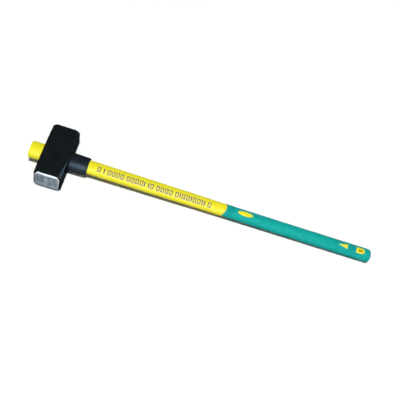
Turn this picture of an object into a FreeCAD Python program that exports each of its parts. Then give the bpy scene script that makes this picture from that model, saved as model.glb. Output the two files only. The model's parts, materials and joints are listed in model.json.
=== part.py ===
"""Sledgehammer with a fibreglass handle, lying on its cheek, as separate pieces.

Every piece is drawn in the hammer's own axes, with the origin at the centre of the head:
+X runs down the handle to the butt, Y is the striking axis and Z is the thickness between the cheeks.
All pieces then share one resting placement: the head lies on the handle-side edge of its cheek
and the butt touches the surface, because the hammer balances below the head.
"""

import FreeCAD, Part
import math
import os

import Sketcher
from FreeCAD import Placement, Rotation, Vector

# Driving dimensions in millimetres, with what each one measures
DIMENSIONS = {
    "overall_length": (900, "end of the stub above the head to the end of the butt"),
    "head_length": (157.2, "striking face to striking face"),
    "head_width": (69.5, "along the handle"),
    "head_height": (63.8, "cheek to cheek"),
    "head_end_width": (70.8, "width where the face bevel starts"),
    "head_end_height": (63.1, "height where the face bevel starts"),
    "eye_block": (50, "parallel middle of the head, around the eye"),
    "edge_break": (1.5, "chamfer of the long edges in the middle of the head"),
    "facet": (9.2, "chamfer of the long edges where the face bevel starts"),
    "bevel_depth": (5, "face bevel, along the striking axis"),
    "bevel_inset": (5.5, "face bevel, across the face"),
    "eye_length": (46.7, "eye at its waist, along the striking axis"),
    "eye_breadth": (36.5, "eye at its waist, cheek to cheek"),
    "eye_waist": (30, "parallel stretch of the eye"),
    "eye_flare_top": (3, "growth of the eye from its waist to its upper mouth"),
    "eye_flare_low": (1.5, "growth of the eye from its waist to its lower mouth"),
    "stub_height": (35.6, "handle left standing above the head"),
    "stub_round": (3, "rounding of the stub's end"),
    "collar_length": (49.4, "sleeve below the head"),
    "collar_top_length": (50.1, "sleeve at the head, striking axis"),
    "collar_top_breadth": (39.6, "sleeve at the head, cheek to cheek"),
    "collar_end_length": (47.2, "sleeve at its lower end, striking axis"),
    "collar_end_breadth": (37.2, "sleeve at its lower end, cheek to cheek"),
    "collar_chamfer": (1.5, "chamfer of the sleeve's lower end"),
    "neck_length": (39.1, "handle below the head, striking axis"),
    "neck_breadth": (30.6, "handle below the head, cheek to cheek"),
    "grip_start": (447.6, "front edge of the grip on the cheek side, from the head's centre"),
    "grip_scallop": (7, "how much further forward the grip reaches on the face sides"),
    "slim_station": (473.5, "slimmest place of the handle, from the head's centre"),
    "slim_length": (34.4, "handle at its slimmest, striking axis"),
    "slim_breadth": (27.2, "handle at its slimmest, cheek to cheek"),
    "butt_length": (35.5, "handle at the butt, striking axis"),
    "butt_breadth": (28.1, "handle at the butt, cheek to cheek"),
    "butt_round": (10, "rounding of the butt's end"),
    "grip_wall": (3, "thickness of the soft grip"),
    "grip_end_wall": (6, "soft grip over the end of the jacket"),
    "core_length": (23.5, "fibreglass rod, striking axis"),
    "core_breadth": (16, "fibreglass rod, cheek to cheek"),
    "core_cover": (5, "jacket over the rod's end, inside the stub"),
    "core_setback": (50, "rod's other end, from the end of the butt"),
    "oval_setback": (49.4, "centre of the oval boss, from the grip's front edge"),
    "oval_length": (40, "oval boss along the handle"),
    "oval_width": (13.1, "oval boss across the handle"),
    "arrow_setback": (63.3, "base of the triangular boss, from the end of the butt"),
    "arrow_length": (25.3, "triangular boss, base to tip"),
    "arrow_width": (14, "base of the triangular boss"),
    "dee_setback": (40.8, "flat side of the D boss, from the end of the butt"),
    "dee_length": (21.6, "D boss along the handle"),
    "dee_width": (15.9, "D boss across the handle"),
    "slot_length": (12, "hang slot along the handle"),
    "slot_width": (7, "hang slot across the handle"),
}

# Stations along X, as expressions of the driving dimensions
HEAD_TOP = "(-Sheet.head_width / 2)"
HEAD_UNDERSIDE = "(Sheet.head_width / 2)"
STUB_END = f"({HEAD_TOP} - Sheet.stub_height)"
BUTT_END = f"(Sheet.overall_length + {STUB_END})"
ARROW_BASE = f"({BUTT_END} - Sheet.arrow_setback)"
DEE_FLAT = f"({BUTT_END} - Sheet.dee_setback)"
DEE_CENTRE = f"({DEE_FLAT} + Sheet.dee_length / 2)"
OVAL_CENTRE = "(Sheet.grip_start + Sheet.oval_setback)"

# The grip's front edge is an arc in plan, hollow towards the head
SCALLOP_RADIUS = "((Sheet.slim_length ^ 2 / 4 + Sheet.grip_scallop ^ 2) / (2 * Sheet.grip_scallop))"
SCALLOP_CENTRE = f"(Sheet.grip_start - {SCALLOP_RADIUS})"

doc = FreeCAD.newDocument("Sledgehammer")


def make_sheet():
    """Spreadsheet of the driving dimensions: name, value and meaning in each row."""
    table = doc.addObject("Spreadsheet::Sheet", "Sheet")
    for row, (alias, (value, meaning)) in enumerate(DIMENSIONS.items(), start=1):
        table.set(f"A{row}", alias)
        table.set(f"B{row}", str(value))
        table.set(f"C{row}", meaning)
        table.setAlias(f"B{row}", alias)
    doc.recompute()
    return table


# --- sketches -----------------------------------------------------------------------------------


def new_body(name):
    return doc.addObject("PartDesign::Body", name)


def new_sketch(body, name, plane, offset="0"):
    """Sketch on one of the body's origin planes, moved along the plane's normal."""
    sketch = body.newObject("Sketcher::SketchObject", name)
    support = next(item for item in body.Origin.OriginFeatures if item.Role == plane)
    sketch.AttachmentSupport = (support, [""])
    sketch.MapMode = "FlatFace"
    sketch.setExpression("AttachmentOffset.Base.z", offset)
    return sketch


def constrain(sketch, *constraints):
    for constraint in constraints:
        sketch.addConstraint(Sketcher.Constraint(*constraint))


def drive(sketch, name, size, *constraint):
    """Add a dimension, whose last value is its drawn size, and bind it to an expression."""
    index = sketch.addConstraint(Sketcher.Constraint(*constraint))
    sketch.renameConstraint(index, name)
    sketch.setExpression(f"Constraints.{name}", size)


def add_ellipse(sketch, half_long, half_short):
    """Ellipse with its long axis on the sketch's x. Its axes become geometry 1 and 2."""
    centre = Vector(0, 0, 0)
    sketch.addGeometry(Part.Ellipse(Vector(half_long, 0, 0), Vector(0, half_short, 0), centre))
    sketch.exposeInternalGeometry(0)
    constrain(sketch, ("Horizontal", 1))


def handle_section(body, name, offset, length, breadth):
    """Oval section across the handle, centred on it."""
    sketch = new_sketch(body, name, "YZ_Plane", offset)
    add_ellipse(sketch, 20, 15)
    constrain(sketch, ("Coincident", 0, 3, -1, 1))
    drive(sketch, "length", length, "Distance", 1, 40)
    drive(sketch, "breadth", breadth, "Distance", 2, 30)
    return sketch


def head_section(body, name, offset, width, height, chamfer):
    """Rectangle across the head with its four corners cut at 45 degrees."""
    sketch = new_sketch(body, name, "XZ_Plane", offset)
    corners = [(20, 30), (30, 20), (30, -20), (20, -30), (-20, -30), (-30, -20), (-30, 20), (-20, 30)]
    points = [Vector(x, z, 0) for x, z in corners]
    sides = [Part.LineSegment(start, end) for start, end in zip(points, points[1:] + points[:1])]
    sketch.addGeometry(sides)
    for side in range(8):
        constrain(sketch, ("Coincident", side, 2, (side + 1) % 8, 1))
    right, bottom, left, top = 1, 3, 5, 7
    for side, axis in ((right, -1), (bottom, -2), (left, -1), (top, -2)):
        constrain(sketch, ("Symmetric", side, 1, side, 2, axis))
    drive(sketch, "right", f"{width} / 2", "DistanceX", -1, 1, right, 1, 30)
    drive(sketch, "left", f"{width} / 2", "DistanceX", left, 1, -1, 1, 30)
    drive(sketch, "top", f"{height} / 2", "DistanceY", -1, 1, top, 1, 30)
    drive(sketch, "bottom", f"{height} / 2", "DistanceY", bottom, 1, -1, 1, 30)
    for side, name, size in (
        (right, "right_flat", height),
        (bottom, "bottom_flat", width),
        (left, "left_flat", height),
        (top, "top_flat", width),
    ):
        drive(sketch, name, f"{size} - 2 * {chamfer}", "Distance", side, 40)
    return sketch


def oval_outline(body, name):
    """Outline of the oval boss, seen from the cheek side."""
    sketch = new_sketch(body, name, "XY_Plane")
    add_ellipse(sketch, 20, 8)
    constrain(sketch, ("PointOnObject", 0, 3, -1))
    drive(sketch, "centre", OVAL_CENTRE, "DistanceX", -1, 1, 0, 3, 1)
    drive(sketch, "length", "Sheet.oval_length", "Distance", 1, 40)
    drive(sketch, "width", "Sheet.oval_width", "Distance", 2, 16)
    return sketch


def arrow_outline(body, name):
    """Outline of the triangular boss, which points at the head."""
    sketch = new_sketch(body, name, "XY_Plane")
    tip, upper, lower = Vector(100, 0, 0), Vector(125, 8, 0), Vector(125, -8, 0)
    sketch.addGeometry([Part.LineSegment(tip, lower), Part.LineSegment(lower, upper)])
    sketch.addGeometry(Part.LineSegment(upper, tip))
    for side in range(3):
        constrain(sketch, ("Coincident", side, 2, (side + 1) % 3, 1))
    constrain(sketch, ("PointOnObject", 0, 1, -1), ("Symmetric", 1, 1, 1, 2, -1))
    drive(sketch, "base", ARROW_BASE, "DistanceX", -1, 1, 1, 1, 125)
    drive(sketch, "length", "Sheet.arrow_length", "DistanceX", 0, 1, 0, 2, 25)
    drive(sketch, "width", "Sheet.arrow_width", "Distance", 1, 16)
    return sketch


def dee_outline(body, name):
    """Outline of the D boss: flat towards the head, round towards the butt."""
    sketch = new_sketch(body, name, "XY_Plane")
    upper, lower = Vector(100, 9, 0), Vector(100, -9, 0)
    upper_end, lower_end, centre = Vector(115, 9, 0), Vector(115, -9, 0), Vector(115, 0, 0)
    circle = Part.Circle(centre, Vector(0, 0, 1), 9)
    sketch.addGeometry([Part.LineSegment(upper, lower), Part.LineSegment(lower, lower_end)])
    sketch.addGeometry(Part.ArcOfCircle(circle, -math.pi / 2, math.pi / 2))
    sketch.addGeometry(Part.LineSegment(upper_end, upper))
    constrain(
        sketch,
        ("Coincident", 0, 2, 1, 1),
        ("Coincident", 3, 2, 0, 1),
        ("Tangent", 1, 2, 2, 1),
        ("Tangent", 2, 2, 3, 1),
        ("PointOnObject", 2, 3, -1),
        ("Vertical", 0),
        ("Horizontal", 1),
        ("Horizontal", 3),
    )
    drive(sketch, "flat", DEE_FLAT, "DistanceX", -1, 1, 0, 1, 100)
    drive(sketch, "straight", "Sheet.dee_length - Sheet.dee_width / 2", "DistanceX", 1, 1, 1, 2, 15)
    drive(sketch, "radius", "Sheet.dee_width / 2", "Radius", 2, 9)
    return sketch


def slot_outline(body, name):
    """Outline of the hang slot: two half-circles joined by straight sides."""
    sketch = new_sketch(body, name, "XY_Plane")
    near, far = Vector(100, 0, 0), Vector(106, 0, 0)
    up = Vector(0, 0, 1)
    sketch.addGeometry(Part.ArcOfCircle(Part.Circle(near, up, 3), math.pi / 2, 3 * math.pi / 2))
    sketch.addGeometry(Part.LineSegment(Vector(100, -3, 0), Vector(106, -3, 0)))
    sketch.addGeometry(Part.ArcOfCircle(Part.Circle(far, up, 3), -math.pi / 2, math.pi / 2))
    sketch.addGeometry(Part.LineSegment(Vector(106, 3, 0), Vector(100, 3, 0)))
    for side in range(4):
        constrain(sketch, ("Tangent", side, 2, (side + 1) % 4, 1))
    constrain(sketch, ("PointOnObject", 0, 3, -1), ("PointOnObject", 2, 3, -1), ("Horizontal", 1))
    straight = "(Sheet.slot_length - Sheet.slot_width)"
    drive(sketch, "start", f"{DEE_CENTRE} - {straight} / 2", "DistanceX", -1, 1, 0, 3, 100)
    drive(sketch, "straight", straight, "DistanceX", 1, 1, 1, 2, 6)
    drive(sketch, "radius", "Sheet.slot_width / 2", "Radius", 0, 3)
    return sketch


# --- features -----------------------------------------------------------------------------------


def loft(body, name, kind, sections):
    """Ruled PartDesign loft through sketches, in order."""
    feature = body.newObject(kind, name)
    feature.Profile = sections[0]
    feature.Sections = sections[1:]
    feature.Ruled = True
    return feature


def pad(body, name, sketch, length, both_ways=False):
    feature = body.newObject("PartDesign::Pad", name)
    feature.Profile = sketch
    feature.SideType = "Symmetric" if both_ways else "One side"
    feature.setExpression("Length", length)
    return feature


def round_rim(body, name, base, station, radius):
    """Round the rim of the body's flat end that lies at this X."""
    doc.recompute()
    rims = [
        f"Edge{number}"
        for number, edge in enumerate(base.Shape.Edges, start=1)
        if edge.BoundBox.XLength < 0.001 and abs(edge.BoundBox.XMin - station) < 0.001
    ]
    feature = body.newObject("PartDesign::Fillet", name)
    feature.Base = (base, rims)
    feature.setExpression("Radius", radius)
    return feature


def cut(name, base, tool):
    feature = doc.addObject("Part::Cut", name)
    feature.Base = base
    feature.Tool = tool
    return feature


def common(name, base, tool):
    feature = doc.addObject("Part::Common", name)
    feature.Base = base
    feature.Tool = tool
    return feature


# --- the head and its eye -----------------------------------------------------------------------


def make_head():
    """Forged head: parallel round the eye, faceted towards both faces, each with a bevel."""
    body = new_body("hammer_head")
    middle = ("Sheet.head_width", "Sheet.head_height", "Sheet.edge_break")
    faceted = ("Sheet.head_end_width", "Sheet.head_end_height", "Sheet.facet")
    # Moving every side of a 45-degree corner inwards by d shortens the corner's leg by (2 - sqrt(2)) d
    face = (
        "(Sheet.head_end_width - 2 * Sheet.bevel_inset)",
        "(Sheet.head_end_height - 2 * Sheet.bevel_inset)",
        "(Sheet.facet - (2 - sqrt(2)) * Sheet.bevel_inset)",
    )
    stations = [
        ("face", "Sheet.head_length / 2", face),
        ("facet", "(Sheet.head_length / 2 - Sheet.bevel_depth)", faceted),
        ("block", "Sheet.eye_block / 2", middle),
    ]
    near = [head_section(body, f"near_{name}", station, *size) for name, station, size in stations]
    far = [head_section(body, f"far_{name}", f"-{station}", *size) for name, station, size in stations]
    loft(body, "forging", "PartDesign::AdditiveLoft", near + far[::-1])

    waist = handle_section(body, "waist", "0", "Sheet.eye_length", "Sheet.eye_breadth")
    eye = body.newObject("PartDesign::Pocket", "eye")
    eye.Profile = waist
    eye.Type = "ThroughAll"
    eye.SideType = "Symmetric"
    top = mouth_sections(body, HEAD_TOP, "-Sheet.eye_waist / 2", "Sheet.eye_flare_top", "top")
    loft(body, "top_mouth", "PartDesign::SubtractiveLoft", top)
    low = mouth_sections(body, HEAD_UNDERSIDE, "Sheet.eye_waist / 2", "Sheet.eye_flare_low", "low")
    loft(body, "low_mouth", "PartDesign::SubtractiveLoft", low)
    return body


def mouth_sections(body, mouth, waist, flare, name):
    """The flared mouth of the eye: its outer section and the waist that it narrows to."""
    wide = (f"(Sheet.eye_length + {flare})", f"(Sheet.eye_breadth + {flare})")
    narrow = ("Sheet.eye_length", "Sheet.eye_breadth")
    return [
        handle_section(body, f"{name}_mouth_rim", mouth, *wide),
        handle_section(body, f"{name}_mouth_waist", waist, *narrow),
    ]


def make_resin(name, handle, mouth, waist, flare):
    """Cured resin between the flared mouth of the eye and the handle."""
    form = new_body(f"{name}_form")
    sections = mouth_sections(form, mouth, waist, flare, name)
    loft(form, f"{name}_flare", "PartDesign::AdditiveLoft", sections)
    return cut(name, form, handle)


# --- the handle ---------------------------------------------------------------------------------


def make_handle_form():
    """Outer form of the whole handle: eye plug with its stub, then a long taper to the butt."""
    body = new_body("handle_form")
    end = handle_section(body, "stub_end", STUB_END, "Sheet.eye_length", "Sheet.eye_breadth")
    plug = pad(body, "plug", end, "Sheet.head_width + Sheet.stub_height")
    stub_x = -sheet.head_width / 2 - sheet.stub_height
    round_rim(body, "stub_rounding", plug, stub_x, "Sheet.stub_round")
    taper = loft(
        body,
        "taper",
        "PartDesign::AdditiveLoft",
        [
            handle_section(body, "neck", HEAD_UNDERSIDE, "Sheet.neck_length", "Sheet.neck_breadth"),
            handle_section(body, "slim", "Sheet.slim_station", "Sheet.slim_length", "Sheet.slim_breadth"),
            handle_section(body, "butt", BUTT_END, "Sheet.butt_length", "Sheet.butt_breadth"),
        ],
    )
    round_rim(body, "butt_rounding", taper, stub_x + sheet.overall_length, "Sheet.butt_round")
    return body


def make_grip_root():
    """The thinner jacket under the grip, with the bosses that stand up through its windows."""
    body = new_body("grip_root")
    outer = ("slim_length", "slim_breadth", "butt_length", "butt_breadth")
    inner = [f"(Sheet.{size} - 2 * Sheet.grip_wall)" for size in outer]
    root_end = f"({BUTT_END} - Sheet.grip_end_wall)"
    loft(
        body,
        "root",
        "PartDesign::AdditiveLoft",
        [
            handle_section(body, "root_front", SCALLOP_CENTRE, *inner[:2]),
            handle_section(body, "root_back", root_end, *inner[2:]),
        ],
    )
    for name, outline in (("oval", oval_outline), ("arrow", arrow_outline), ("dee", dee_outline)):
        pad(body, f"{name}_boss", outline(body, f"{name}_outline"), "2 * Sheet.butt_length", True)
    return body


def make_grip_zone(handle):
    """Outer form of the soft grip: the rear of the handle, behind an arc hollow to the head."""
    rear = doc.addObject("Part::Box", "rear")
    rear.setExpression("Length", "Sheet.overall_length")
    rear.setExpression("Width", "2 * Sheet.butt_length")
    rear.setExpression("Height", "2 * Sheet.butt_length")
    rear.setExpression("Placement.Base.x", SCALLOP_CENTRE)
    rear.setExpression("Placement.Base.y", "-Sheet.butt_length")
    rear.setExpression("Placement.Base.z", "-Sheet.butt_length")
    scallop = doc.addObject("Part::Cylinder", "scallop")
    scallop.Placement = Placement(Vector(), Rotation(Vector(0, 0, 1), 180))
    scallop.setExpression("Radius", SCALLOP_RADIUS)
    scallop.setExpression("Height", "2 * Sheet.butt_length")
    scallop.setExpression("Placement.Base.x", SCALLOP_CENTRE)
    scallop.setExpression("Placement.Base.z", "-Sheet.butt_length")
    return common("grip_zone", handle, cut("behind_scallop", rear, scallop))


def make_core(name):
    """Pultruded fibreglass rod with a constant oval section."""
    body = new_body(name)
    start = f"({STUB_END} + Sheet.core_cover)"
    end = handle_section(body, f"{name}_end", start, "Sheet.core_length", "Sheet.core_breadth")
    pad(body, f"{name}_rod", end, "Sheet.overall_length - Sheet.core_cover - Sheet.core_setback")
    return body


def make_slot():
    body = new_body("hang_slot")
    pad(body, "slot", slot_outline(body, "slot_outline"), "2 * Sheet.butt_length", True)
    return body


def make_jacket(handle, grip):
    """Yellow jacket: the handle's form without the grip, the rod's space and the hang slot."""
    around_core = cut("around_core", cut("inside_grip", handle, grip), make_core("core_space"))
    return cut("handle_jacket", around_core, make_slot())


def make_collar(handle):
    """Overstrike sleeve that sits on the handle against the underside of the head."""
    form = new_body("collar_form")
    rim = f"({HEAD_UNDERSIDE} + Sheet.collar_length)"
    top = ("Sheet.collar_top_length", "Sheet.collar_top_breadth")
    end = ("Sheet.collar_end_length", "Sheet.collar_end_breadth")
    rim_size = [f"({size} - 2 * Sheet.collar_chamfer)" for size in end]
    sections = [
        handle_section(form, "collar_top", HEAD_UNDERSIDE, *top),
        handle_section(form, "collar_end", f"{rim} - Sheet.collar_chamfer", *end),
        handle_section(form, "collar_rim", rim, *rim_size),
    ]
    loft(form, "collar_taper", "PartDesign::AdditiveLoft", sections)
    return cut("head_collar", form, handle)


# --- rest, checks and files ---------------------------------------------------------------------


def resting_placement(pieces):
    """Tilt about Y so that the cheek's edge and the butt touch the surface, then centre above it."""
    head_x = sheet.head_width / 2
    butt_x = sheet.overall_length - sheet.stub_height - head_x - sheet.butt_round
    drop = sheet.head_height / 2 - sheet.butt_breadth / 2
    tilt = Rotation(Vector(0, 1, 0), math.degrees(math.atan2(drop, butt_x - head_x)))
    tilted = Part.makeCompound([piece.Shape for piece in pieces])
    tilted.Placement = Placement(Vector(), tilt)
    box = tilted.optimalBoundingBox()
    return Placement(Vector(-(box.XMin + box.XMax) / 2, 0, -box.ZMin), tilt)


def check_document():
    for item in doc.Objects:
        if "Invalid" in item.State or "Error" in item.State:
            raise RuntimeError(f"{item.Name} did not compute")


def write_parts(pieces):
    os.makedirs("parts", exist_ok=True)
    for piece in pieces:
        shape = piece.Shape
        if shape.isNull() or not shape.isValid() or len(shape.Solids) != 1:
            raise RuntimeError(f"{piece.Label} is not one valid solid")
        print(f"{piece.Label}: {shape.Volume / 1000:.1f} cm3")
        shape.exportStep(f"parts/{piece.Label}.step")


sheet = make_sheet()
handle_form = make_handle_form()
soft_grip = cut("soft_grip", make_grip_zone(handle_form), make_grip_root())
sub_parts = [
    make_head(),
    make_core("fibreglass_core"),
    make_jacket(handle_form, soft_grip),
    soft_grip,
    make_collar(handle_form),
    make_resin("eye_resin_top", handle_form, HEAD_TOP, "-Sheet.eye_waist / 2", "Sheet.eye_flare_top"),
    make_resin("eye_resin_low", handle_form, HEAD_UNDERSIDE, "Sheet.eye_waist / 2", "Sheet.eye_flare_low"),
]
doc.recompute()
check_document()
resting = resting_placement(sub_parts)
for sub_part in sub_parts:
    sub_part.Placement = resting
write_parts(sub_parts)
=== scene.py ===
"""Looks of the sledgehammer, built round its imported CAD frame.

Lengths are in metres. Meshes are drawn in the hammer's own axes, with the origin at the centre of
the head: +X runs down the handle, Y is the striking axis and Z goes from cheek to cheek.
"""

import json
import math
import random

import bmesh
import bpy
from mathutils import Matrix, Vector


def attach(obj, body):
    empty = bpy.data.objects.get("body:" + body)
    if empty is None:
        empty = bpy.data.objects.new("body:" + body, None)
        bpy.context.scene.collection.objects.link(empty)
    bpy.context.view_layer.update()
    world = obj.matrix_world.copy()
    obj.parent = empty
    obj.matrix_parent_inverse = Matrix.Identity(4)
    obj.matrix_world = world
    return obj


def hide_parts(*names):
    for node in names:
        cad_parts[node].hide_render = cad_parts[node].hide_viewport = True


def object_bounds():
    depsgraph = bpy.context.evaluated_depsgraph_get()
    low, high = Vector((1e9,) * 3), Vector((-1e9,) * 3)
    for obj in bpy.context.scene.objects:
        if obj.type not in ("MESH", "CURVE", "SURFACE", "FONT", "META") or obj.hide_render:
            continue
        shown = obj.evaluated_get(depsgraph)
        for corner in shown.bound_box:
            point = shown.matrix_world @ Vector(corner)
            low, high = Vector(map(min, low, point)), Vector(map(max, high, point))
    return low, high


MM = 0.001
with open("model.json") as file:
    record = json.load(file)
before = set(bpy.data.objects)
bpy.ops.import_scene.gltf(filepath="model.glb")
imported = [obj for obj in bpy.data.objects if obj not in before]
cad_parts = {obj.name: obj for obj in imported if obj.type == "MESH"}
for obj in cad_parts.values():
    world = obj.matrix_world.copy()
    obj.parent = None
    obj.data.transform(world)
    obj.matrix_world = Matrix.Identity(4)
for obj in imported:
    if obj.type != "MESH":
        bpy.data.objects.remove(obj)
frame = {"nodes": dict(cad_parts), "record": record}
cad_low, cad_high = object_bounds()


# --- the hammer's own axes and sizes, from the frame ----------------------------------------------


def hammer_axes():
    """Matrix from the hammer's own axes to the frame, from the head's mounts."""
    mounts = {mount["name"]: mount for mount in frame["record"]["mounts"]}
    front = Vector(mounts["striking_face_front"]["pos_m"])
    back = Vector(mounts["striking_face_back"]["pos_m"])
    strike = (back - front).normalized()
    up = -Vector(mounts["lower_cheek"]["axis"]).normalized()
    matrix = Matrix((strike.cross(up), strike, up)).transposed().to_4x4()
    matrix.translation = (front + back) / 2
    return matrix


HAMMER = hammer_axes()


def extent(node):
    """Lowest and highest corner of a CAD node, in the hammer's own axes."""
    to_hammer = HAMMER.inverted()
    points = [to_hammer @ vertex.co for vertex in frame["nodes"][node].data.vertices]
    low = Vector([min(point[axis] for point in points) for axis in range(3)])
    high = Vector([max(point[axis] for point in points) for axis in range(3)])
    return low, high


HEAD_HIGH = extent("hammer_head")[1]
STUB_END = extent("handle_jacket")[0].x
PLUG = extent("handle_jacket")[1]
COLLAR_LOW, COLLAR = extent("head_collar")
BUTT = extent("soft_grip")[1]

# Head: half sizes round the eye, where the collar starts, and where the face bevel starts
HEAD = Vector((COLLAR_LOW.x, HEAD_HIGH.y, HEAD_HIGH.z))
HEAD_END = Vector((HEAD_HIGH.x, 0, 31.55 * MM))
EYE_BLOCK = 25 * MM
EDGE_BREAK = 1.5 * MM
FACET = 9.2 * MM
EDGE_RADIUS = 1.2 * MM
FACET_RADIUS = 2.2 * MM
BEVEL_DEPTH = 5 * MM
BEVEL_INSET = 5.5 * MM
FACE_CROWN = 0.7 * MM
EYE_FLARE = 1.5 * MM

# Handle: half sizes at the neck, at the slimmest place and at the butt
NECK = (19.55 * MM, 15.3 * MM)
SLIM_X = 473.5 * MM
SLIM = (17.2 * MM, 13.6 * MM)
BUTT_ROUND = 10 * MM
STUB_ROUND = 3 * MM
COLLAR_END = (23.6 * MM, 18.6 * MM)

# Soft grip: front edge on the cheek side, arc in plan, and wall
GRIP_START = 447.6 * MM
GRIP_SCALLOP = 7 * MM
GRIP_WALL = 3 * MM
GRIP_END_WALL = 6 * MM
SCALLOP_RADIUS = (SLIM[0] ** 2 + GRIP_SCALLOP ** 2) / (2 * GRIP_SCALLOP)

# Inlays: oval, triangle that points at the head, and D with the hang slot
OVAL = {"centre": GRIP_START + 49.4 * MM, "length": 40 * MM, "width": 13.1 * MM}
ARROW = {"base": BUTT.x - 63.3 * MM, "length": 25.3 * MM, "width": 14 * MM}
DEE = {"flat": BUTT.x - 40.8 * MM, "length": 21.6 * MM, "width": 15.9 * MM}
SLOT = {"length": 12 * MM, "width": 7 * MM}
INLAY_GAP = 0.2 * MM

# Pimples: pitch, start of the rear rows, and half width of the band they cover
PIMPLE_PITCH = 4.8 * MM
REAR_PIMPLES_X = 734 * MM
PIMPLE_BAND = 14.5 * MM

# Points round the handle, and reach of the floor and its backdrop
AROUND = 96
STAGE_REACH = 6.0


# --- mesh helpers ---------------------------------------------------------------------------------


def ramp(value, start, end):
    """0 before start, 1 after end, straight in between."""
    return min(max((value - start) / (end - start), 0.0), 1.0)


def mix(first, second, share):
    """Value that lies this share of the way from first to second."""
    return first + (second - first) * share


def new_object(name, mesh, material, slot, *replaced):
    """A piece that rides on the only body and stands for these CAD nodes."""
    piece = bpy.data.objects.new(name, mesh)
    bpy.context.collection.objects.link(piece)
    if material:
        mesh.materials.append(material)
    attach(piece, "root")
    if replaced:
        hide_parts(*replaced)
    return piece


def plain_mesh(name, verts, faces):
    """Mesh of these points and faces."""
    mesh = bpy.data.meshes.new(name)
    mesh.from_pydata([tuple(vert) for vert in verts], [], faces)
    return mesh


def skin_mesh(name, rings, looped=False):
    """Closed skin through rings of equal count: capped at its ends, or looped back to the first."""
    verts = [HAMMER @ point for ring in rings for point in ring]
    count = len(rings[0])
    faces = []
    for ring in range(len(rings) - 1):
        for step in range(count):
            following = (step + 1) % count
            faces.append((ring * count + step, ring * count + following,
                          (ring + 1) * count + following, (ring + 1) * count + step))
    if looped:
        last = len(rings) - 1
        for step in range(count):
            following = (step + 1) % count
            faces.append((last * count + step, last * count + following, following, step))
    else:
        for ring, flip in ((0, True), (len(rings) - 1, False)):
            centre = sum(rings[ring], Vector()) / count
            verts.append(HAMMER @ centre)
            hub = len(verts) - 1
            for step in range(count):
                pair = (ring * count + step, ring * count + (step + 1) % count)
                faces.append((pair[1], pair[0], hub) if flip else (pair[0], pair[1], hub))
    mesh = plain_mesh(name, verts, faces)
    fix_normals(mesh)
    return mesh


def fix_normals(mesh):
    """Outward normals and smooth shading."""
    work = bmesh.new()
    work.from_mesh(mesh)
    bmesh.ops.recalc_face_normals(work, faces=work.faces)
    work.to_mesh(mesh)
    work.free()
    for polygon in mesh.polygons:
        polygon.use_smooth = True


def sharpen(piece, degrees):
    """Keep edges above this angle sharp in the shading."""
    piece.data.set_sharp_from_angle(angle=math.radians(degrees))


def apply_modifiers(piece):
    """Replace the piece's mesh by what its modifiers make of it."""
    graph = bpy.context.evaluated_depsgraph_get()
    result = bpy.data.meshes.new_from_object(piece.evaluated_get(graph))
    old = piece.data
    piece.modifiers.clear()
    piece.data = result
    bpy.data.meshes.remove(old)


def carve(piece, cutters):
    """Cut helper meshes out of a piece and remove them."""
    helpers = []
    for mesh in cutters:
        helper = bpy.data.objects.new("cutter", mesh)
        bpy.context.collection.objects.link(helper)
        helpers.append(helper)
        modifier = piece.modifiers.new("cut", "BOOLEAN")
        modifier.operation = "DIFFERENCE"
        modifier.solver = "EXACT"
        modifier.object = helper
    apply_modifiers(piece)
    for helper in helpers:
        mesh = helper.data
        bpy.data.objects.remove(helper)
        bpy.data.meshes.remove(mesh)


def oval_ring(x, half_y, half_z, count=AROUND):
    """Oval across the handle, starting on the upper cheek side."""
    turns = [2 * math.pi * step / count for step in range(count)]
    return [Vector((x, half_y * math.sin(turn), half_z * math.cos(turn))) for turn in turns]


def handle_half(x):
    """Half sizes of the handle's oval at a place along it."""
    if x < SLIM_X:
        share = ramp(x, HEAD.x, SLIM_X)
        return mix(NECK[0], SLIM[0], share), mix(NECK[1], SLIM[1], share)
    share = ramp(x, SLIM_X, BUTT.x)
    return mix(SLIM[0], BUTT.y, share), mix(SLIM[1], BUTT.z, share)


def grip_edge_x(turn):
    """Where the soft grip begins, at this angle round the handle from the upper cheek side."""
    side = SLIM[0] * math.sin(turn)
    return GRIP_START - SCALLOP_RADIUS + math.sqrt(SCALLOP_RADIUS ** 2 - side ** 2)


def handle_point(x, turn, lift=0.0):
    """Point on the handle's surface, lifted off it along the oval's normal."""
    half_y, half_z = handle_half(x)
    normal = Vector((0, math.sin(turn) / half_y, math.cos(turn) / half_z)).normalized()
    return Vector((x, half_y * math.sin(turn), half_z * math.cos(turn))) + lift * normal


# --- materials ------------------------------------------------------------------------------------


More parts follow.
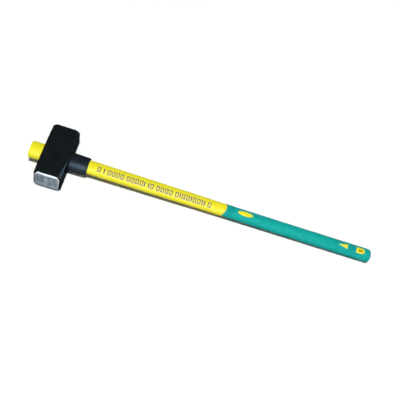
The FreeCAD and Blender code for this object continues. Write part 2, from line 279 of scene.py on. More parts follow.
class Finish:
    """A principled material whose nodes are added step by step."""

    def __init__(self, name, colour, roughness, **inputs):
        self.material = bpy.data.materials.new(name)
        self.material.use_nodes = True
        self.tree = self.material.node_tree
        self.shader = self.tree.nodes["Principled BSDF"]
        self.shader.inputs["Base Color"].default_value = (*colour, 1)
        self.shader.inputs["Roughness"].default_value = roughness
        for socket, value in inputs.items():
            self.shader.inputs[socket.replace("_", " ")].default_value = value
        self.place = self.node("ShaderNodeTexCoord").outputs["Object"]
        self.normal = None

    def node(self, kind, **values):
        """A new node with these settings."""
        node = self.tree.nodes.new(kind)
        for key, value in values.items():
            setattr(node, key, value)
        return node

    def noise(self, scale, detail=2.0, stretch=(1, 1, 1)):
        """Noise of this many cells per metre."""
        mapping = self.node("ShaderNodeMapping")
        mapping.inputs["Scale"].default_value = stretch
        self.tree.links.new(self.place, mapping.inputs["Vector"])
        noise = self.node("ShaderNodeTexNoise")
        noise.inputs["Scale"].default_value = scale
        noise.inputs["Detail"].default_value = detail
        self.tree.links.new(mapping.outputs["Vector"], noise.inputs["Vector"])
        return noise.outputs["Fac"]

    def spots(self, scale):
        """Rounded cells, high in their middles, this many per metre."""
        cells = self.node("ShaderNodeTexVoronoi")
        cells.inputs["Scale"].default_value = scale
        self.tree.links.new(self.place, cells.inputs["Vector"])
        return cells.outputs["Distance"]

    def colours(self, source, low, high, start=0.35, end=0.65):
        """Vary the base colour between two colours."""
        self.feed("Base Color", self.tints(source, low, high, start, end))

    def tints(self, source, low, high, start=0.35, end=0.65):
        """Colours between two, chosen by a source."""
        ramp_node = self.node("ShaderNodeValToRGB")
        ramp_node.color_ramp.elements[0].position = start
        ramp_node.color_ramp.elements[1].position = end
        ramp_node.color_ramp.elements[0].color = (*low, 1)
        ramp_node.color_ramp.elements[1].color = (*high, 1)
        self.tree.links.new(source, ramp_node.inputs["Fac"])
        return ramp_node.outputs["Color"]

    def attribute(self, name):
        """A value stored at the mesh's points."""
        return self.node("ShaderNodeAttribute", attribute_name=name).outputs["Fac"]

    def arithmetic(self, operation, first, second):
        """Two values put together. Each is an output or a number."""
        node = self.node("ShaderNodeMath", operation=operation)
        for socket, value in zip(node.inputs, (first, second)):
            if isinstance(value, (int, float)):
                socket.default_value = value
            else:
                self.tree.links.new(value, socket)
        return node.outputs["Value"]

    def step(self, source, start, end, low=0.0, high=1.0):
        """low where the source is below start, high where it is above end."""
        span = self.node("ShaderNodeMapRange")
        for socket, value in (("From Min", start), ("From Max", end), ("To Min", low), ("To Max", high)):
            span.inputs[socket].default_value = value
        self.tree.links.new(source, span.inputs["Value"])
        return span.outputs["Result"]

    def blend(self, share, first, second):
        """Mix of two colours. Each is an output or three numbers."""
        node = self.node("ShaderNodeMix", data_type="RGBA")
        self.tree.links.new(share, node.inputs[0])
        for socket, value in ((node.inputs[6], first), (node.inputs[7], second)):
            if isinstance(value, tuple):
                socket.default_value = (*value, 1)
            else:
                self.tree.links.new(value, socket)
        return node.outputs[2]

    def feed(self, socket, source):
        """Let an output drive one of the shader's inputs."""
        self.tree.links.new(source, self.shader.inputs[socket])

    def gloss(self, source, low, high):
        """Vary the roughness between two values."""
        self.feed("Roughness", self.step(source, 0.3, 0.7, low, high))

    def bump(self, source, height, strength=1.0):
        """Add relief of this height in metres on top of what is there."""
        bump = self.node("ShaderNodeBump")
        bump.inputs["Distance"].default_value = height
        bump.inputs["Strength"].default_value = strength
        self.tree.links.new(source, bump.inputs["Height"])
        if self.normal:
            self.tree.links.new(self.normal, bump.inputs["Normal"])
        self.normal = bump.outputs["Normal"]
        self.feed("Normal", self.normal)


def black_lacquer():
    """Black oxide and lacquer over a forged skin: dark at every angle."""
    finish = Finish("black_lacquer", (0.014, 0.018, 0.021), 0.36, Metallic=0.5, Specular_IOR_Level=0.0)
    finish.shader.inputs["Specular Tint"].default_value = (0.15, 0.18, 0.2, 1)
    finish.colours(finish.noise(35, 5), (0.012, 0.0165, 0.0195), (0.016, 0.0205, 0.0235))
    finish.gloss(finish.noise(60, 4), 0.32, 0.44)
    finish.bump(finish.noise(45, 2), 0.0009, 0.3)
    finish.bump(finish.noise(900, 3), 0.00012, 0.4)
    return finish.material


def ground_steel():
    """Ground steel whose bevel is lacquered along its outer edge, with the lacquer widened on the left
    and low side as painted shade.
    """
    finish = Finish("ground_steel", (0.25, 0.3, 0.35), 0.36, Specular_IOR_Level=0.0)
    finish.gloss(finish.noise(90, 5), 0.26, 0.48)
    finish.bump(finish.noise(260, 3, (8, 1, 1)), 0.00008, 0.6)
    finish.bump(finish.noise(70, 3), 0.0003, 0.3)
    blotches = finish.tints(finish.noise(80, 6), (0.094, 0.124, 0.15), (0.245, 0.302, 0.355), 0.36, 0.64)
    bevel = finish.attribute("bevel")
    bright = finish.blend(finish.step(bevel, 0.98, 1.02), (0.72, 0.745, 0.77), blotches)
    # black over the bevel: a lacquer border, plus painted shade on its left and lower parts
    lacquer_and_shade_edge = finish.attribute("lacquer_and_shade_edge")
    ragged = finish.arithmetic("ADD", bevel, finish.arithmetic("MULTIPLY", finish.noise(420, 3), 0.3))
    bare = finish.step(finish.arithmetic("SUBTRACT", ragged, lacquer_and_shade_edge), 0.1, 0.2)
    finish.feed("Base Color", finish.blend(bare, (0.005, 0.0065, 0.008), bright))
    finish.feed("Metallic", bare)
    return finish.material


def yellow_plastic():
    """Moulded polypropylene, semi-gloss, with a fine grain."""
    deeper = (0.87, 0.56, 0.02)
    finish = Finish("yellow_plastic", (0.83, 0.77, 0.02), 0.5, Specular_IOR_Level=0.36)
    yellows = finish.tints(finish.noise(160, 4), (0.81, 0.745, 0.017), (0.85, 0.79, 0.024))
    finish.feed("Base Color", finish.blend(finish.attribute("grip_rim"), yellows, deeper))
    finish.gloss(finish.noise(220, 3), 0.42, 0.56)
    finish.bump(finish.noise(40, 2), 0.0005, 0.25)
    finish.bump(finish.noise(1400, 2), 0.00008, 0.5)
    return finish.material


def inlay_plastic():
    """The same jacket where it shows through the grip, slightly deeper in colour."""
    finish = Finish("inlay_plastic", (0.88, 0.78, 0.03), 0.45, Specular_IOR_Level=0.4)
    finish.colours(finish.noise(200, 4), (0.85, 0.74, 0.025), (0.91, 0.82, 0.035))
    finish.gloss(finish.noise(240, 3), 0.38, 0.52)
    finish.bump(finish.noise(1400, 2), 0.00006, 0.5)
    return finish.material


def teal_rubber():
    """Soft elastomer with a dry, finely stippled skin."""
    finish = Finish("teal_rubber", (0.006, 0.367, 0.323), 0.62, Specular_IOR_Level=0.14)
    finish.colours(finish.noise(90, 5), (0.004, 0.342, 0.3), (0.008, 0.392, 0.346))
    finish.gloss(finish.noise(150, 4), 0.56, 0.7)
    finish.bump(finish.spots(1300), 0.00012, 0.35)
    finish.bump(finish.noise(60, 2), 0.0004, 0.2)
    return finish.material


def slot_shade_plastic():
    """Inside of the hang slot: rougher, and painted slightly deeper in colour as the shade inside the
    slot.
    """
    finish = Finish("slot_shade_plastic", (0.85, 0.7, 0.03), 0.6, Specular_IOR_Level=0.3)
    finish.colours(finish.noise(260, 3), (0.8, 0.65, 0.02), (0.9, 0.75, 0.04))
    return finish.material


def pimple_shade_rubber():
    """The grip's rubber on its pimples, painted darker than the rest of the grip as shade."""
    finish = Finish("pimple_shade_rubber", (0.002, 0.15, 0.15), 0.7, Specular_IOR_Level=0.12)
    finish.colours(finish.noise(300, 3), (0.001, 0.13, 0.13), (0.003, 0.17, 0.17))
    return finish.material


def collar_plastic():
    """Smooth semi-gloss black sleeve."""
    finish = Finish("collar_plastic", (0.032, 0.042, 0.054), 0.5, Metallic=0.75, Specular_IOR_Level=0.0)
    finish.shader.inputs["Specular Tint"].default_value = (0.15, 0.2, 0.25, 1)
    finish.colours(finish.noise(80, 4), (0.029, 0.038, 0.05), (0.035, 0.045, 0.058))
    finish.gloss(finish.noise(110, 4), 0.46, 0.56)
    finish.bump(finish.noise(1000, 2), 0.00008, 0.5)
    return finish.material


def cured_resin():
    """Dark, glossy adhesive."""
    finish = Finish("cured_resin", (0.05, 0.04, 0.03), 0.22)
    finish.colours(finish.noise(300, 3), (0.035, 0.028, 0.02), (0.08, 0.065, 0.045))
    finish.bump(finish.noise(260, 3), 0.0004, 0.6)
    return finish.material


def print_ink():
    """Purplish ink, a little uneven."""
    finish = Finish("print_ink", (0.16, 0.12, 0.19), 0.5)
    finish.colours(finish.noise(900, 3), (0.13, 0.095, 0.16), (0.2, 0.15, 0.22))
    return finish.material


# --- head -----------------------------------------------------------------------------------------


def head_ring(y, half_x, half_z, facet, radius, steps=4):
    """Rectangle with 45-degree corners, each of whose eight corners is an arc."""
    corners = []
    for sign_x, sign_z, order in ((1, 1, 1), (1, -1, -1), (-1, -1, 1), (-1, 1, -1)):
        pair = [
            (sign_x * (half_x - facet), sign_z * half_z),
            (sign_x * half_x, sign_z * (half_z - facet)),
        ]
        corners += pair[::order]
    points = []
    reach = radius * math.tan(math.pi / 8)
    for index, corner in enumerate(corners):
        here = Vector(corner)
        before = (Vector(corners[index - 1]) - here).normalized()
        after = (Vector(corners[(index + 1) % 8]) - here).normalized()
        inward = (before + after).normalized()
        centre = here + inward * (radius / math.cos(math.pi / 8))
        start = here + before * reach - centre
        end = here + after * reach - centre
        for step in range(steps + 1):
            share = step / steps
            direction = (start.lerp(end, share)).normalized()
            flat = centre + direction * radius
            points.append(Vector((flat.x, y, flat.y)))
    return points


def inset_ring(y, inset, shrink=1.0):
    """Section at the end of the head, moved inwards by inset and then shrunk about its centre."""
    facet = FACET - (2 - math.sqrt(2)) * inset
    ring = head_ring(y, HEAD_END.x - inset, HEAD_END.z - inset, facet, FACET_RADIUS)
    return [Vector((point.x * shrink, point.y, point.z * shrink)) for point in ring]


def face_rings():
    """(ring, share of the bevel) from the bevel's edge to the middle of the striking face."""
    bevel_start = HEAD.y - BEVEL_DEPTH
    rim = HEAD.y - FACE_CROWN
    soft = 0.5 * MM
    rings = [
        (inset_ring(bevel_start - 1.2 * MM, 0.0), None),
        (inset_ring(bevel_start, 0.12 * MM), 0.0),
        (inset_ring(bevel_start + 0.5 * MM, 0.6 * MM), 0.1),
        (inset_ring(rim - soft, BEVEL_INSET - soft), 0.9),
        (inset_ring(rim - 0.35 * soft, BEVEL_INSET - 0.1 * soft), 1.0),
        (inset_ring(rim, BEVEL_INSET + 0.5 * soft), 1.1),
    ]
    for shrink in (0.9, 0.75, 0.55, 0.35, 0.15):
        rings.append((inset_ring(HEAD.y - FACE_CROWN * shrink ** 2, BEVEL_INSET, shrink), 2.0))
    return rings


def eye_cutter():
    """Flared oval through the head, with a small chamfer at each mouth."""
    rings = []
    for x, grow in (
        (-HEAD.x - 2 * MM, EYE_FLARE + 2.6 * MM),
        (-HEAD.x + 0.6 * MM, EYE_FLARE),
        (-15 * MM, 0.02 * MM),
        (15 * MM, 0.02 * MM),
        (HEAD.x - 0.6 * MM, 0.75 * MM),
        (HEAD.x + 2 * MM, 0.75 * MM),
    ):
        rings.append(oval_ring(x, PLUG.y + grow, PLUG.z + grow))
    return skin_mesh("eye_cutter", rings)


def make_head():
    """Forged head with facets, bevelled bright faces and the eye."""
    side = [(head_ring(EYE_BLOCK, HEAD.x, HEAD.z, EDGE_BREAK, EDGE_RADIUS), None)]
    for y in (EYE_BLOCK + 4 * MM, EYE_BLOCK + 20 * MM):
        side.append((head_ring(y, *facet_sizes(y)), None))
    side += face_rings()
    mirrored = [([Vector((p.x, -p.y, p.z)) for p in ring], share) for ring, share in reversed(side)]
    rings = mirrored + side
    mesh = skin_mesh("forged_head", [ring for ring, _ in rings])
    mesh.materials.append(black_lacquer())
    mesh.materials.append(ground_steel())
    count = len(rings[0][0])
    strips = len(rings) - 1
    for polygon in mesh.polygons:
        strip = polygon.index // count
        bare = strip >= strips or (rings[strip][1] is not None and rings[strip + 1][1] is not None)
        polygon.material_index = int(bare)
    bevel = mesh.attributes.new("bevel", "FLOAT", "POINT")
    # attribute for the lacquer border and the painted shade on the lower and left bevel
    lacquer_and_shade_edge = mesh.attributes.new("lacquer_and_shade_edge", "FLOAT", "POINT")
    for index in range(len(mesh.vertices)):
        ring = index // count
        share = rings[ring][1] if ring < len(rings) else 2.0
        bevel.data[index].value = share or 0.0
        if ring < len(rings):
            point = rings[ring][0][index % count]
            lacquer_and_shade_edge.data[index].value = lacquer_and_shade_reach(point)
    piece = new_object("forged_head", mesh, None, "head_lacquer", "hammer_head")
    carve(piece, [eye_cutter()])
    sharpen(piece, 32)


def lacquer_and_shade_reach(point):
    """Share of the bevel that black covers: a lacquer border, widened on the left and past its inner
    edge below as painted shade, least on top.
    """
    across = point.x / HEAD_END.x
    upward = point.z / HEAD_END.z
    sides = 0.74 + 0.1 * max(-across, 0.0)
    return sides + 1.1 * max(-upward, 0.0) ** 4 - 0.6 * max(upward, 0.0) ** 4


def facet_sizes(y):
    """Half sizes, facet and corner radius of the head at this distance from its middle."""
    share = ramp(y, EYE_BLOCK, HEAD.y - BEVEL_DEPTH)
    return (
        mix(HEAD.x, HEAD_END.x, share),
        mix(HEAD.z, HEAD_END.z, share),
        mix(EDGE_BREAK, FACET, share),
        mix(EDGE_RADIUS, FACET_RADIUS, share),
    )


# --- collar, resin and jacket ---------------------------------------------------------------------


def make_collar():
    """Overstrike sleeve: a tapered oval tube with a rolled lower rim."""
    length = COLLAR.x - COLLAR_LOW.x

    def ring(share, inset):
        half_y = mix(COLLAR.y, COLLAR_END[0], share) - inset
        half_z = mix(COLLAR.z, COLLAR_END[1], share) - inset
        return oval_ring(COLLAR_LOW.x + share * length, half_y, half_z)

    profile = [(0.0, 1.0 * MM), (0.006, 0.35 * MM), (0.02, 0.0), (0.2, 0.0), (0.45, 0.0), (0.7, 0.0),
               (0.9, 0.0), (0.93, 0.28 * MM), (0.945, 0.3 * MM), (0.955, 0.06 * MM), (0.975, 0.0),
               (0.99, 0.4 * MM), (1.0, 1.3 * MM)]
    rings = [ring(share, inset) for share, inset in profile]
    end_y, end_z = handle_half(COLLAR.x)
    rings.append(oval_ring(COLLAR.x, end_y + 0.05 * MM, end_z + 0.05 * MM))
    rings.append(oval_ring(COLLAR.x - 3 * MM, end_y + 0.05 * MM, end_z + 0.05 * MM))
    rings.append(oval_ring(COLLAR_LOW.x, NECK[0] + 0.2 * MM, NECK[1] + 0.2 * MM))
    mesh = skin_mesh("overstrike_collar", rings, looped=True)
    piece = new_object("overstrike_collar", mesh, collar_plastic(), "black_sleeve", "head_collar")
    sharpen(piece, 50)


def make_resin():
    """Ring of cured resin in the upper mouth of the eye, drawn up slightly against the handle."""
    top = -HEAD.x
    profile = [
        (top + 19 * MM, 0.1 * MM), (top - 0.1 * MM, 0.05 * MM), (top + 0.35 * MM, 0.35 * MM),
        (top + 0.7 * MM, 0.8 * MM), (top + 0.5 * MM, 1.25 * MM), (top + 0.9 * MM, 1.44 * MM),
        (top + 6 * MM, 1.0 * MM),
    ]
    rings = [oval_ring(x, PLUG.y + grow, PLUG.z + grow) for x, grow in profile]
    mesh = skin_mesh("eye_resin_ring", rings, looped=True)
    new_object("eye_resin_ring", mesh, cured_resin(), "eye_resin", "eye_resin_top")


def stub_rings():
    """Rounded end of the handle above the head, then the plug down to the neck."""
    rings = []
    dome = 0.8 * MM
    for share in (0.2, 0.45, 0.7, 0.88):
        x = STUB_END + dome * share ** 2
        rings.append(oval_ring(x, (PLUG.y - STUB_ROUND) * share, (PLUG.z - STUB_ROUND) * share))
    for step in range(7):
        turn = math.pi / 2 * step / 6
        inset = STUB_ROUND * (1 - math.sin(turn))
        x = STUB_END + dome + (STUB_ROUND - dome) * (1 - math.cos(turn))
        rings.append(oval_ring(x, PLUG.y - inset, PLUG.z - inset))
    for x in (-HEAD.x - 12 * MM, -HEAD.x, HEAD.x - 1 * MM):
        rings.append(oval_ring(x, PLUG.y, PLUG.z))
    return rings


def make_jacket():
    """Yellow jacket from the stub to the scalloped edge, going on under the grip."""
    rings = stub_rings()
    turns = [2 * math.pi * step / AROUND for step in range(AROUND)]
    neck_x = HEAD.x + 1 * MM
    columns = 60
    for column in range(columns):
        share = column / columns
        xs = [mix(neck_x, grip_edge_x(turn) - 4 * MM, share) for turn in turns]
        rings.append([handle_point(x, turn) for x, turn in zip(xs, turns)])
    plain_rings = len(rings)
    for step_back in (3.4, 2.6, 0.0):
        rings.append([handle_point(grip_edge_x(turn) - step_back * MM, turn) for turn in turns])
    for depth, step_back in ((0.25, 0.15), (1.0, 0.25), (3.05, 0.3)):
        edge = [grip_edge_x(turn) + step_back * MM for turn in turns]
        rings.append([handle_point(x, turn, -depth * MM) for x, turn in zip(edge, turns)])
    for x in (GRIP_START + 30 * MM, BUTT.x - GRIP_END_WALL - 0.2 * MM):
        rings.append([handle_point(x, turn, -GRIP_WALL - 0.05 * MM) for turn in turns])
    mesh = skin_mesh("yellow_jacket", rings)
    rim = mesh.attributes.new("grip_rim", "FLOAT", "POINT")
    for index in range((plain_rings + 1) * AROUND, len(rings) * AROUND):
        rim.data[index].value = 0.7
    piece = new_object("yellow_jacket", mesh, yellow_plastic(), "yellow_jacket", "handle_jacket")
    carve(piece, [prism_mesh("slot_space", slot_outline(0.3 * MM))])
    sharpen(piece, 40)


# --- inlays ---------------------------------------------------------------------------------------


def oval_outline(grow=0.0, count=64):
    """The oval inlay in plan, grown outwards."""
    half_x = OVAL["length"] / 2 + grow
    half_y = OVAL["width"] / 2 + grow
    turns = [2 * math.pi * step / count for step in range(count)]
    return [(OVAL["centre"] + half_x * math.cos(turn), half_y * math.sin(turn)) for turn in turns]


def rounded_outline(corners, radius, grow=0.0, steps=6):
    """Convex outline with its corners rounded, then grown outwards."""
    points = []
    for index, corner in enumerate(corners):
        here = Vector(corner)
        before = (Vector(corners[index - 1]) - here).normalized()
        after = (Vector(corners[(index + 1) % len(corners)]) - here).normalized()
        half_angle = before.angle(after) / 2
        inward = (before + after).normalized()
        centre = here + inward * (radius / math.sin(half_angle))
        reach = radius / math.tan(half_angle)
        start = here + before * reach - centre
        end = here + after * reach - centre
        for step in range(steps + 1):
            direction = start.lerp(end, step / steps).normalized()
            spot = centre + direction * (radius + grow)
            points.append((spot.x, spot.y))
    return points


def arrow_outline(grow=0.0):
    """The triangular inlay in plan, grown outwards. Its point faces the head."""
    base, half = ARROW["base"], ARROW["width"] / 2
    corners = [(base - ARROW["length"], 0.0), (base, -half), (base, half)]
    return rounded_outline(corners, 0.7 * MM, grow)


def dee_outline(grow=0.0, count=48):
    """D outline as points at even angles round its centre, so that it pairs with the slot's."""
    half = DEE["width"] / 2
    flat, round_x = DEE["flat"], DEE["flat"] + DEE["length"] - half
    points = [(flat - grow, half + grow), (flat - grow, -half - grow)]
    steps = count // 2
    for step in range(steps + 1):
        turn = math.pi * (step / steps - 0.5)
        points.append((round_x + (half + grow) * math.cos(turn), (half + grow) * math.sin(turn)))
    return resample(points, count, (flat + DEE["length"] / 2, 0.0))


def slot_outline(grow=0.0, count=48):
    """The hang slot in plan, grown outwards, at the same angles as the D."""
    centre = DEE["flat"] + DEE["length"] / 2
    half, straight = SLOT["width"] / 2 + grow, (SLOT["length"] - SLOT["width"]) / 2
    points = []
    for end, first in ((1, -0.5), (-1, 0.5)):
        for step in range(13):
            turn = math.pi * (first + step / 12)
            points.append((centre + end * straight + half * math.cos(turn), half * math.sin(turn)))
    return resample(points, count, (centre, 0.0))


def resample(points, count, centre):
    """The outline's points at even angles round a centre."""
    result = []
    middle = Vector(centre)
    for index in range(count):
        turn = 2 * math.pi * index / count
        ray = Vector((math.cos(turn), math.sin(turn)))
        best = 0.0
        for start, end in zip(points, points[1:] + points[:1]):
            a, b = Vector(start) - middle, Vector(end) - middle
            side = b - a
            cross = ray.x * side.y - ray.y * side.x
            if abs(cross) < 1e-12:
                continue
            reach = (a.x * side.y - a.y * side.x) / cross
            along = (a.x * ray.y - a.y * ray.x) / cross
            if reach > 0 and -1e-6 <= along <= 1 + 1e-6:
                best = max(best, reach)
        result.append((centre[0] + ray.x * best, centre[1] + ray.y * best))
    return result


def prism_mesh(name, outline, depth=40 * MM):
    """Straight prism through the handle, from cheek side to cheek side."""
    low = [Vector((x, y, -depth)) for x, y in outline]
    high = [Vector((x, y, depth)) for x, y in outline]
    return skin_mesh(name, [low, high])


def cheek_height(x, y, lift):
    """Height of the handle's surface above its middle plane, plus lift."""
    half_y, half_z = handle_half(x)
    return half_z * math.sqrt(max(1 - (y / half_y) ** 2, 0.0)) + lift


def inlay_mesh(name, outline_of, side):
    """Boss flush with the grip on one cheek side, with softly rounded edges."""
    levels = [(0.0, -3.1 * MM), (0.0, -0.3 * MM), (-0.1 * MM, -0.08 * MM), (-0.3 * MM, 0.0)]
    rings = []
    for grow, lift in levels:
        outline = outline_of(grow - INLAY_GAP)
        rings.append([Vector((x, y, side * cheek_height(x, y, lift))) for x, y in outline])
    rim = outline_of(-0.3 * MM - INLAY_GAP)
    centre = (sum(x for x, _ in rim) / len(rim), sum(y for _, y in rim) / len(rim))
    for shrink in (0.8, 0.6, 0.4, 0.2):
        spots = [(mix(centre[0], x, shrink), mix(centre[1], y, shrink)) for x, y in rim]
        rings.append([Vector((x, y, side * cheek_height(x, y, 0.0))) for x, y in spots])
    return skin_mesh(name, rings)


def dee_mesh():
    """D boss on both cheek sides with the hang slot through it, as one closed skin."""
    half = [
        (dee_outline(-INLAY_GAP), -3.1 * MM),
        (dee_outline(-INLAY_GAP), -0.3 * MM),
        (dee_outline(-INLAY_GAP - 0.1 * MM), -0.08 * MM),
        (dee_outline(-INLAY_GAP - 0.3 * MM), 0.0),
    ]
    slot, rim = slot_outline(0.5 * MM), half[-1][0]
    for share in (0.33, 0.66):
        half.append(([(mix(a[0], b[0], share), mix(a[1], b[1], share)) for a, b in zip(rim, slot)], 0.0))
    half += [(slot, 0.0), (slot_outline(0.15 * MM), -0.15 * MM), (slot_outline(), -0.5 * MM)]
    upper = [[Vector((x, y, cheek_height(x, y, lift))) for x, y in outline] for outline, lift in half]
    lower = [[Vector((point.x, point.y, -point.z)) for point in ring] for ring in upper]
    mesh = skin_mesh("dee_inlay", upper + lower[::-1], looped=True)
    # the slot's inner walls get the painted shade colour of the slot
    through = range((len(half) - 2) * len(slot), (len(half) + 1) * len(slot))
    for polygon in mesh.polygons:
        polygon.material_index = int(polygon.index in through)
    return mesh


def make_inlays():
    """Raised parts of the jacket that show through the grip's windows."""
    material = inlay_plastic()
    for side, word in ((1, "upper"), (-1, "lower")):
        for shape, outline in (("oval", oval_outline), ("arrow", arrow_outline)):
            name = f"{shape}_inlay_{word}"
            piece = new_object(name, inlay_mesh(name, outline, side), material, "yellow_jacket")
            sharpen(piece, 50)
    piece = new_object("dee_inlay", dee_mesh(), material, "yellow_jacket")
    piece.data.materials.append(slot_shade_plastic())
    sharpen(piece, 50)


# --- soft grip ------------------------------------------------------------------------------------


def grip_outer_rings(turns):
    """The grip's outer skin, from its lip at the scalloped edge to the middle of the butt."""
    rings = []
    for lift, shift in ((-1.6, 0.0), (-0.6, 0.02), (-0.2, 0.15), (-0.03, 0.45), (0.0, 0.9)):
        points = [(grip_edge_x(turn) + shift * MM, turn) for turn in turns]
        rings.append([handle_point(x, turn, lift * MM) for x, turn in points])
    columns = 130
    straight_end = BUTT.x - BUTT_ROUND
    first = 1.6 * MM
    for column in range(columns + 1):
        share = column / columns
        xs = [mix(grip_edge_x(turn) + first, straight_end, share) for turn in turns]
        rings.append([handle_point(x, turn) for x, turn in zip(xs, turns)])
    dome = 1.5 * MM
    for step in range(1, 9):
        turn = math.pi / 2 * step / 8
        inset = BUTT_ROUND * (1 - math.cos(turn))
        x = straight_end + (BUTT_ROUND - dome) * math.sin(turn)
        rings.append(oval_ring(x, BUTT.y - inset, BUTT.z - inset))
    for share in (0.85, 0.65, 0.4, 0.2):
        x = BUTT.x - dome * share ** 2
        rings.append(oval_ring(x, (BUTT.y - BUTT_ROUND) * share, (BUTT.z - BUTT_ROUND) * share))
    return rings


def make_grip():
    """Soft grip with windows for the inlays."""
    turns = [2 * math.pi * step / AROUND for step in range(AROUND)]
    inner = []
    for x in (BUTT.x - GRIP_END_WALL, GRIP_START + 30 * MM):
        inner.append([handle_point(x, turn, -GRIP_WALL) for turn in turns])
    inner.append([handle_point(grip_edge_x(turn) + 0.3 * MM, turn, -GRIP_WALL) for turn in turns])
    mesh = skin_mesh("soft_grip_skin", inner + grip_outer_rings(turns))
    piece = new_object("soft_grip_skin", mesh, teal_rubber(), "teal_grip", "soft_grip")
    cutters = []
    for name, outline in (("oval", oval_outline), ("arrow", arrow_outline), ("dee", dee_outline)):
        cutters.append(prism_mesh(f"{name}_window", outline()))
    carve(piece, cutters)
    sharpen(piece, 40)


def in_window(x, y):
    """Is this place on or near an inlay's window?"""
    margin = 2.2 * MM
    windows = (
        (OVAL["centre"] - OVAL["length"] / 2, OVAL["centre"] + OVAL["length"] / 2, OVAL["width"]),
        (ARROW["base"] - ARROW["length"], ARROW["base"], ARROW["width"]),
        (DEE["flat"], DEE["flat"] + DEE["length"], DEE["width"]),
    )
    return any(low - margin < x < high + margin and abs(y) < wide / 2 + margin
               for low, high, wide in windows)


def pimple_places():
    """Places of the grip's pimples: rows behind its front edge, and round the rear inlays."""
    places = []
    for row in range(4):
        for step in range(-3, 4):
            y = (step + 0.5 * (row % 2)) * PIMPLE_PITCH
            turn = math.asin(y / SLIM[0])
            places.append((grip_edge_x(turn) + 4 * MM + row * PIMPLE_PITCH, turn))
    rows = int((BUTT.x - 14 * MM - REAR_PIMPLES_X) / PIMPLE_PITCH)
    for row in range(rows):
        x = REAR_PIMPLES_X + row * PIMPLE_PITCH
        for step in range(-3, 4):
            y = (step + 0.5 * (row % 2)) * PIMPLE_PITCH
            if abs(y) < PIMPLE_BAND and not in_window(x, y):
                places.append((x, math.asin(y / handle_half(x)[0])))
    return places


def make_pimples():
    """Low round pimples on both cheek sides of the grip, clear of the surface it rests on."""
    levels = [(1.25 * MM, -0.3 * MM), (1.25 * MM, 0.0), (0.85 * MM, 0.3 * MM), (0.0, 0.42 * MM)]
    around = 8
    verts, faces = [], []
    for side in (0, math.pi):
        for x, turn in pimple_places():
            turn = side - turn if side else turn
            out = (handle_point(x, turn, MM) - handle_point(x, turn)).normalized()
            across = Vector((1, 0, 0)).cross(out)
            foot = handle_point(x, turn)
            if (HAMMER @ (foot + levels[-1][1] * out)).z < cad_low.z + 0.3 * MM:
                continue
            base = len(verts)
            for radius, lift in levels[:-1]:
                for step in range(around):
                    angle = 2 * math.pi * step / around
                    spoke = math.cos(angle) * Vector((1, 0, 0)) + math.sin(angle) * across
                    verts.append(HAMMER @ (foot + radius * spoke + lift * out))
            verts.append(HAMMER @ (foot + levels[-1][1] * out))
            top = len(verts) - 1
            faces.append(tuple(base + step for step in range(around)))
            for step in range(around):
                following = (step + 1) % around
                for ring in (0, 1):
                    low, high = base + ring * around, base + (ring + 1) * around
                    faces.append((low + step, low + following, high + following, high + step))
                faces.append((base + 2 * around + step, base + 2 * around + following, top))
    mesh = plain_mesh("grip_pimples", verts, faces)
    fix_normals(mesh)
    # the pimples carry the painted shade colour
    new_object("grip_pimples", mesh, pimple_shade_rubber(), "teal_grip")


# --- printed marks --------------------------------------------------------------------------------


def print_strokes():
    """(start, end, low, high) of each stroke along and across the handle: plain bars and boxes."""
    start, end = 109 * MM, 415 * MM
    low, high = -12.4 * MM, 0.4 * MM
    box, bar, gap, space, thick = 8.6 * MM, 3.2 * MM, 2.8 * MM, 4.5 * MM, 2.2 * MM
    chooser = random.Random(7)
    strokes = []
    x = start
    while x + box < end:
        if chooser.random() < 0.65:
            strokes += [(x, x + thick, low, high), (x + box - thick, x + box, low, high)]
            for level in (low, high - thick):
                strokes.append((x + thick, x + box - thick, level, level + thick))
            x += box + gap
        else:
            strokes.append((x, x + bar, low, high))
            x += bar + gap
        if chooser.random() < 0.16:
            x += space
    return strokes


def make_print():
    """Plain pattern of bars and boxes along the jacket, as thin ink patches."""
    rows = 6
    verts, faces = [], []
    for first, last, low, high in print_strokes():
        base = len(verts)
        for lift in (0.02 * MM, 0.05 * MM):
            for row in range(rows + 1):
                y = mix(low, high, row / rows)
                for x in (first, last):
                    half_y, _ = handle_half(x)
                    verts.append(HAMMER @ handle_point(x, math.asin(y / half_y), lift))
        layer = 2 * (rows + 1)
        for row in range(rows):
            a = base + 2 * row
            faces.append((a + 1, a, a + 2, a + 3))
            faces.append((a + layer, a + layer + 1, a + layer + 3, a + layer + 2))
            for edge in (0, 1):
                p, q = a + edge, a + edge + 2
                faces.append((p, q, q + layer, p + layer))
        for row in (0, rows):
            a = base + 2 * row
            faces.append((a, a + 1, a + 1 + layer, a + layer))
    mesh = plain_mesh("printed_marks", verts, faces)
    fix_normals(mesh)
    piece = new_object("printed_marks", mesh, print_ink(), "yellow_jacket")
    sharpen(piece, 50)


# --- stage ----------------------------------------------------------------------------------------


def stage_object(name, mesh, finish, hidden_from):
    """A piece of the stage that these kinds of rays pass through."""
    piece = bpy.data.objects.new(name, mesh)
    bpy.context.collection.objects.link(piece)
    mesh.materials.append(finish.material)
    for rays in hidden_from:
        setattr(piece, "visible_" + rays, False)
    return piece


def make_floor():
    """Plain pale floor under the resting hammer."""
    corners = [(x * STAGE_REACH, y * STAGE_REACH, 0) for x, y in ((-1, -1), (1, -1), (1, 1), (-1, 1))]
    finish = Finish("pale_floor", (0.96, 0.96, 0.96), 0.9, Specular_IOR_Level=0.0)
    floor = stage_object("floor", plain_mesh("floor", corners, [(0, 1, 2, 3)]), finish, ["diffuse"])
    floor.location.z = cad_low.z - 0.2 * MM


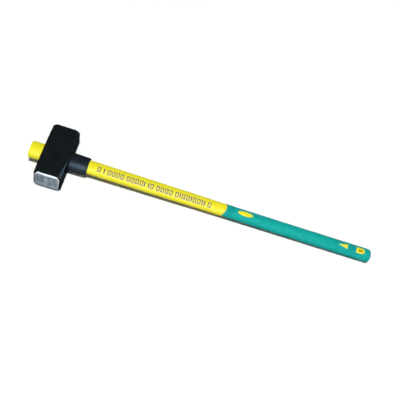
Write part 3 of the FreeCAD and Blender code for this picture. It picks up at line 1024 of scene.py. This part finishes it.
def make_backdrop():
    """Pale wall all round the floor, seen by the camera only."""
    height, count = 8.0, 96
    turns = [2 * math.pi * index / count for index in range(count)]
    verts = []
    for z in (-1 * MM, height):
        verts += [(STAGE_REACH * math.cos(turn), STAGE_REACH * math.sin(turn), z) for turn in turns]
    faces = [(i, (i + 1) % count, count + (i + 1) % count, count + i) for i in range(count)]
    finish = Finish("pale_wall", (0, 0, 0), 1.0, Specular_IOR_Level=0.0, Emission_Strength=0.93)
    finish.shader.inputs["Emission Color"].default_value = (1, 1, 1, 1)
    hidden_from = ["diffuse", "glossy", "transmission", "shadow", "volume_scatter"]
    stage_object("backdrop", plain_mesh("backdrop", verts, faces), finish, hidden_from)


def add_light(name, direction, distance, size, power, colour=(1, 1, 1), glossy=False):
    """Soft rectangular light that points at the hammer: for its highlights, or for the rest."""
    light = bpy.data.lights.new(name, "AREA")
    light.shape = "RECTANGLE"
    light.size, light.size_y = size
    light.energy = power
    light.color = colour
    lamp = bpy.data.objects.new(name, light)
    bpy.context.collection.objects.link(lamp)
    towards = Vector(direction).normalized()
    centre = (cad_low + cad_high) / 2
    lamp.location = centre + towards * distance
    lamp.rotation_mode = "QUATERNION"
    lamp.rotation_quaternion = (-towards).to_track_quat("-Z", "Y")
    lamp.visible_glossy = glossy
    lamp.visible_diffuse = not glossy


def make_lights():
    """Key from above, low fills all round, and lights that only make highlights."""
    blue = (0.76, 0.88, 1.0)
    add_light("key", (0.03, -0.24, 0.97), 21.0, (1.5, 1.5), 4320)
    add_light("front_fill", (-0.1, -0.99, 0.07), 3.0, (2.0, 0.3), 34)
    add_light("rear_fill", (0.1, 0.99, 0.1), 3.0, (2.0, 0.3), 11)
    add_light("stub_fill", (-0.99, -0.05, 0.12), 3.0, (1.0, 0.3), 12)
    add_light("butt_fill", (0.99, 0.05, 0.12), 3.0, (1.0, 0.3), 12)
    add_light("front_gloss", (-0.17, -0.89, 0.42), 3.0, (1.1, 0.4), 17, blue, True)
    add_light("upper_gloss", (-0.1, -0.62, 0.78), 3.0, (1.1, 1.1), 80, (0.85, 0.93, 1.0), True)
    add_light("side_gloss", (0.915, 0.342, 0.217), 3.0, (0.9, 0.4), 50, blue, True)
    world = bpy.data.worlds.new("studio")
    world.use_nodes = True
    world.node_tree.nodes["Background"].inputs["Color"].default_value = (1, 1, 1, 1)
    world.node_tree.nodes["Background"].inputs["Strength"].default_value = 0.045
    bpy.context.scene.world = world
    bpy.context.scene.view_settings.view_transform = "Standard"


def make_camera():
    """Camera that looks across the handle, tipped round its line of sight."""
    azimuth, elevation, roll = math.radians(0.455), math.radians(58.845), math.radians(17.276)
    distance, view_width = 2.534, 1.0092
    head_in_view = (-0.3609, 0.1087)
    back = Vector((
        math.sin(azimuth) * math.cos(elevation),
        -math.cos(azimuth) * math.cos(elevation),
        math.sin(elevation),
    ))
    level = Vector((math.cos(azimuth), math.sin(azimuth), 0))
    steep = back.cross(level)
    right = math.cos(roll) * level + math.sin(roll) * steep
    up = back.cross(right)
    target = -head_in_view[0] * right - head_in_view[1] * up
    data = bpy.data.cameras.new("camera")
    data.sensor_width = 36.0
    data.lens = data.sensor_width * distance / view_width
    data.clip_end = 100
    camera = bpy.data.objects.new("camera", data)
    bpy.context.collection.objects.link(camera)
    pose = Matrix((right, up, back)).transposed().to_4x4()
    pose.translation = target + back * distance
    camera.matrix_world = HAMMER @ pose
    bpy.context.scene.camera = camera


make_head()
make_collar()
make_resin()
make_jacket()
make_grip()
make_inlays()
make_pimples()
make_print()
make_floor()
make_backdrop()
make_lights()
make_camera()
